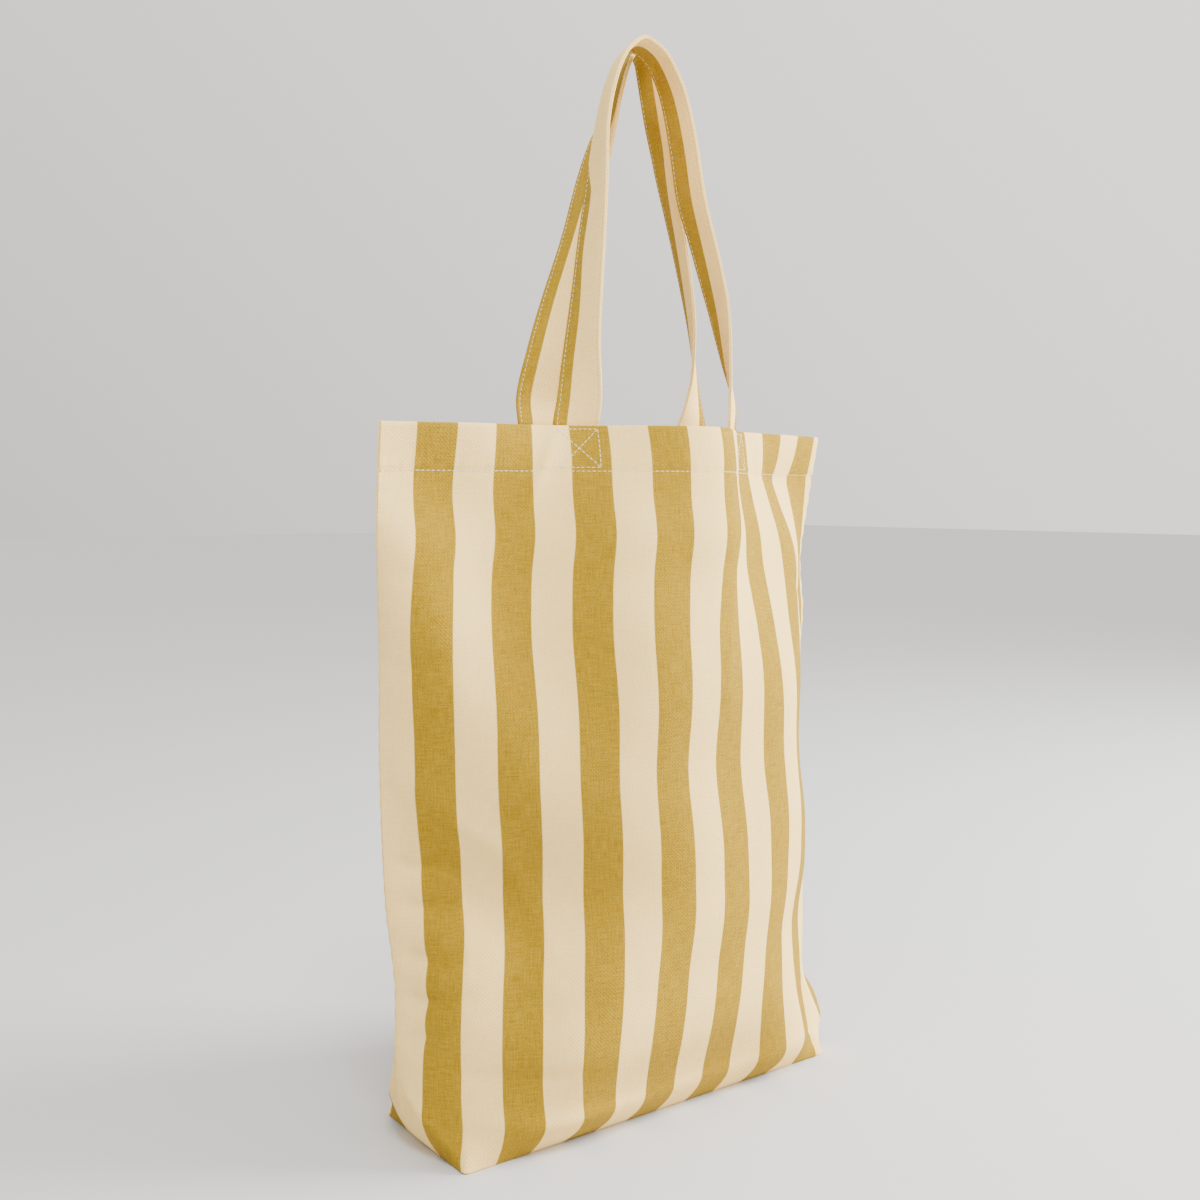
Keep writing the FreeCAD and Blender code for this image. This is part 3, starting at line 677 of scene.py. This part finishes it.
def handle(word, side, path, tones):
    frames = strap_frames(side, path)
    outline = list(STRAP_SECTION) + [(w, -t) for w, t in STRAP_SECTION[-2:0:-1]]
    outline.append(outline[0])
    lines = [strap_lines(side, frames, w, t) for w, t in outline]
    rows = np.stack(lines, 1)
    middle = strap_lines(side, frames, 0, 0)
    vs = np.concatenate([[0], np.cumsum(np.linalg.norm(np.diff(middle, axis=0), axis=1))])
    top = int(np.argmax(middle[:, 2]))
    heights = sorted(tones)
    shares = smooth(heights, [tones[h] for h in heights], middle[:, 2])
    dye = np.zeros(rows.shape[:2])
    for k, (w, t) in enumerate(outline):
        outside = t > 0 or w < -13.4
        pick = np.where(np.arange(len(vs)) <= top, 0 if outside else 1, 2 if outside else 3)
        share = shares[np.arange(len(vs)), pick]
        dye[:, k] = (share - 0.5) * STRAP_WIDTH - w
    side_run = np.concatenate([[0], np.cumsum([math.dist(a, b) for a, b in
                                               zip(outline, outline[1:])])])
    bm, _ = cloth_grid(side_run + 40.0, vs, rows, dye)
    bmesh.ops.remove_doubles(bm, verts=bm.verts, dist=0.00001)
    bmesh.ops.holes_fill(bm, edges=[e for e in bm.edges if e.is_boundary], sides=0)
    bmesh.ops.recalc_face_normals(bm, faces=bm.faces)
    nodes = [word + "_handle", word + "_handle_end_left", word + "_handle_end_right"]
    strap = finish_piece(word + "_strap", bm, canvas, nodes)

    bm = bmesh.new()
    for w in (-EDGE_ROW, EDGE_ROW):
        for t in (-1, 1):
            line = strap_lines(side, frames, w, t * 0.9)
            out = strap_lines(side, frames, w, t * 1.9) - line
            stitch_row(bm, line[1:-1], out[1:-1], STRAP_THREAD, STRAP_STITCH_GAP)
    rows_of_stitches = finish_piece(word + "_strap_stitches", bm, thread,
                                    [word + "_handle_stitching"])
    for piece in (strap, rows_of_stitches):
        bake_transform(piece)


handle("front", -1, FRONT_PATH, FRONT_TONES)
handle("back", 1, BACK_PATH, BACK_TONES)


# ------------------------------------------------------------------ stitching on the bag
def hem_stitches():
    bm = bmesh.new()
    us = np.arange(3.0, PANEL_WIDTH - 2.5, 1.5)
    for side in (-1, 1):
        for out, way in ((CLOTH + THREAD_LIFT, 1), (HEM_BACK - CLOTH - THREAD_LIFT, -1)):
            z = np.full(us.shape, RIM - HEM + (0.0 if way > 0 else 1.6))
            line, normal = on_wall(side, us, z, out)
            stitch_row(bm, line, normal * way)
    piece = finish_piece("hem_stitches", bm, thread, ["hem_stitching"])
    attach(piece, "bag")


def cross_stitches(word, side):
    half = 12.2
    low, high = RIM - HEM + 2.2, RIM - 2.2
    for which, u in zip(("left", "right"), STATIONS):
        box = ((-half, low), (half, low), (half, high), (-half, high))
        runs = [(box[0], box[1]), (box[1], box[2]), (box[2], box[3]), (box[3], box[0]),
                (box[0], box[2]), (box[1], box[3])]
        bm = bmesh.new()
        for out, way in ((CLOTH + THREAD_LIFT, 1), (STRAP_BACK - 1.15, -1)):
            reach = 1.0 if way > 0 else 0.86
            for (u0, z0), (u1, z1) in runs:
                f = np.linspace(0, 1, 16)
                z = z0 + (z1 - z0) * f
                line, normal = on_wall(side, u + (u0 + (u1 - u0) * f) * reach, z, out)
                stitch_row(bm, line, normal * way)
        node = f"cross_stitch_{word}_{which}"
        piece = finish_piece(node + "es", bm, thread, [node])
        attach(piece, "bag")


hem_stitches()
cross_stitches("front", -1)
cross_stitches("back", 1)


# ------------------------------------------------------------------ seam allowances inside
def allowance_strip(name, node, line, across, wave=0.0):
    """An overlocked pair of raw edges along line, standing out along across."""
    line = np.asarray(line, float)
    across = np.asarray(across, float)
    us = np.linspace(0, ALLOWANCE, 7)
    vs = np.concatenate([[0], np.cumsum(np.linalg.norm(np.diff(line, axis=0), axis=1))])
    ripple = np.sin(vs / 9.0) * wave
    side_way = np.cross(across, np.gradient(line, axis=0))
    side_way /= np.linalg.norm(side_way, axis=1)[:, None]
    rows = [[line[j] + across[j] * u + side_way[j] * ripple[j] * (u / ALLOWANCE) ** 2
             for u in us] for j in range(len(vs))]
    bm, _ = cloth_grid(us, vs, rows, np.full((len(vs), len(us)), -1.0))
    piece = finish_piece(name, bm, overlock, [node])
    layers = piece.modifiers.new("two layers", "SOLIDIFY")
    layers.thickness = SEAM_LAYERS * MM
    layers.offset = 0.0
    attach(piece, "bag")


def side_allowance(which, seam, inward):
    line, across = [], []
    for z in np.arange(28.0, RIM - HEM, 3.0):
        x, y = chart(seam, z)
        u = 8.0 if inward > 0 else PANEL_WIDTH - 8.0
        walls = [on_wall(side, np.array([u]), np.array([z]), 0, False)[0][0]
                 for side in (-1, 1)]
        aim = (walls[0] + walls[1]) / 2 - np.array((x, y, z))
        aim[2] = 0
        length = float(np.linalg.norm(aim))
        opening = math.dist(walls[0], walls[1]) / length / 2
        start = max(0.9, 0.8 / max(opening, 0.05))
        aim /= length
        line.append(np.array((x, y, z)) + aim * start)
        across.append(aim)
    allowance_strip(f"{which}_side_allowance", f"side_seam_{which}", line, across, 0.4)


side_allowance("left", LEFT_SEAM, 1)
side_allowance("right", RIGHT_SEAM, -1)
floor_height = CLOTH + 0.85
run = np.arange(-130.0, 130.1, 4.0)
allowance_strip("bottom_allowance", "bottom_seam",
                [(x, -ALLOWANCE / 2, floor_height) for x in run], [(0, 1, 0)] * len(run))
run = np.arange(-41.0, 41.1, 4.0)
for which, x, way in (("left", -140.0, 1), ("right", 140.0, -1)):
    allowance_strip(f"{which}_corner_allowance", f"corner_seam_{which}",
                    [(x, y, floor_height) for y in run], [(way, 0, 0)] * len(run))


# ------------------------------------------------------------------ the studio
def studio():
    floor = bmesh.new()
    bmesh.ops.create_grid(floor, x_segments=1, y_segments=1, size=12.0)
    mesh = bpy.data.meshes.new("floor")
    floor.to_mesh(mesh)
    floor.free()
    ground = bpy.data.objects.new("floor", mesh)
    bpy.context.scene.collection.objects.link(ground)
    material, tree = new_material("matt white paper")
    shader = add(tree, "ShaderNodeBsdfPrincipled", {},
                 {"Base Color": srgb("#CACACA"), "Roughness": 0.9})
    add(tree, "ShaderNodeOutputMaterial", {}, {"Surface": shader.outputs[0]})
    mesh.materials.append(material)
    world = bpy.data.worlds.new("pale room")
    bpy.context.scene.world = world
    world.use_nodes = True
    tree = world.node_tree
    way = add(tree, "ShaderNodeTexCoord")
    toward = add(tree, "ShaderNodeVectorMath", {"operation": "DOT_PRODUCT"},
                 {0: way.outputs["Generated"], 1: (0.62, -0.36, 0.7)}, "towards the windows")
    glow = add(tree, "ShaderNodeMapRange", {},
               {"Value": toward.outputs["Value"], "From Min": -0.7, "From Max": 1.0,
                "To Min": 0.52, "To Max": 2.1})
    room = tree.nodes["Background"]
    room.inputs["Color"].default_value = srgb("#FFFCF7")
    tree.links.new(glow.outputs[0], room.inputs["Strength"])
    for name, spot, aim, power, size in (
            ("key", (1.7, -0.9, 1.1), (0, 0, 0.25), 115.0, 0.8),
            ("front fill", (-0.42, -0.62, 1.2), (0, 0, 0.3), 11.0, 0.3)):
        lamp = bpy.data.lights.new(name, "AREA")
        lamp.energy = power
        lamp.size = size
        holder = bpy.data.objects.new(name, lamp)
        holder.location = spot
        holder.rotation_euler = (Vector(aim) - Vector(spot)).to_track_quat("-Z", "Y").to_euler()
        bpy.context.scene.collection.objects.link(holder)
    lens = bpy.data.cameras.new("camera")
    lens.lens = 40.53
    lens.sensor_width = 36.0
    camera = bpy.data.objects.new("camera", lens)
    camera.location = (-0.5135, -0.6883, 0.3838)
    camera.rotation_euler = (math.radians(90 - 4.42), 0, math.radians(-36.03))
    bpy.context.scene.collection.objects.link(camera)
    bpy.context.scene.camera = camera


studio()
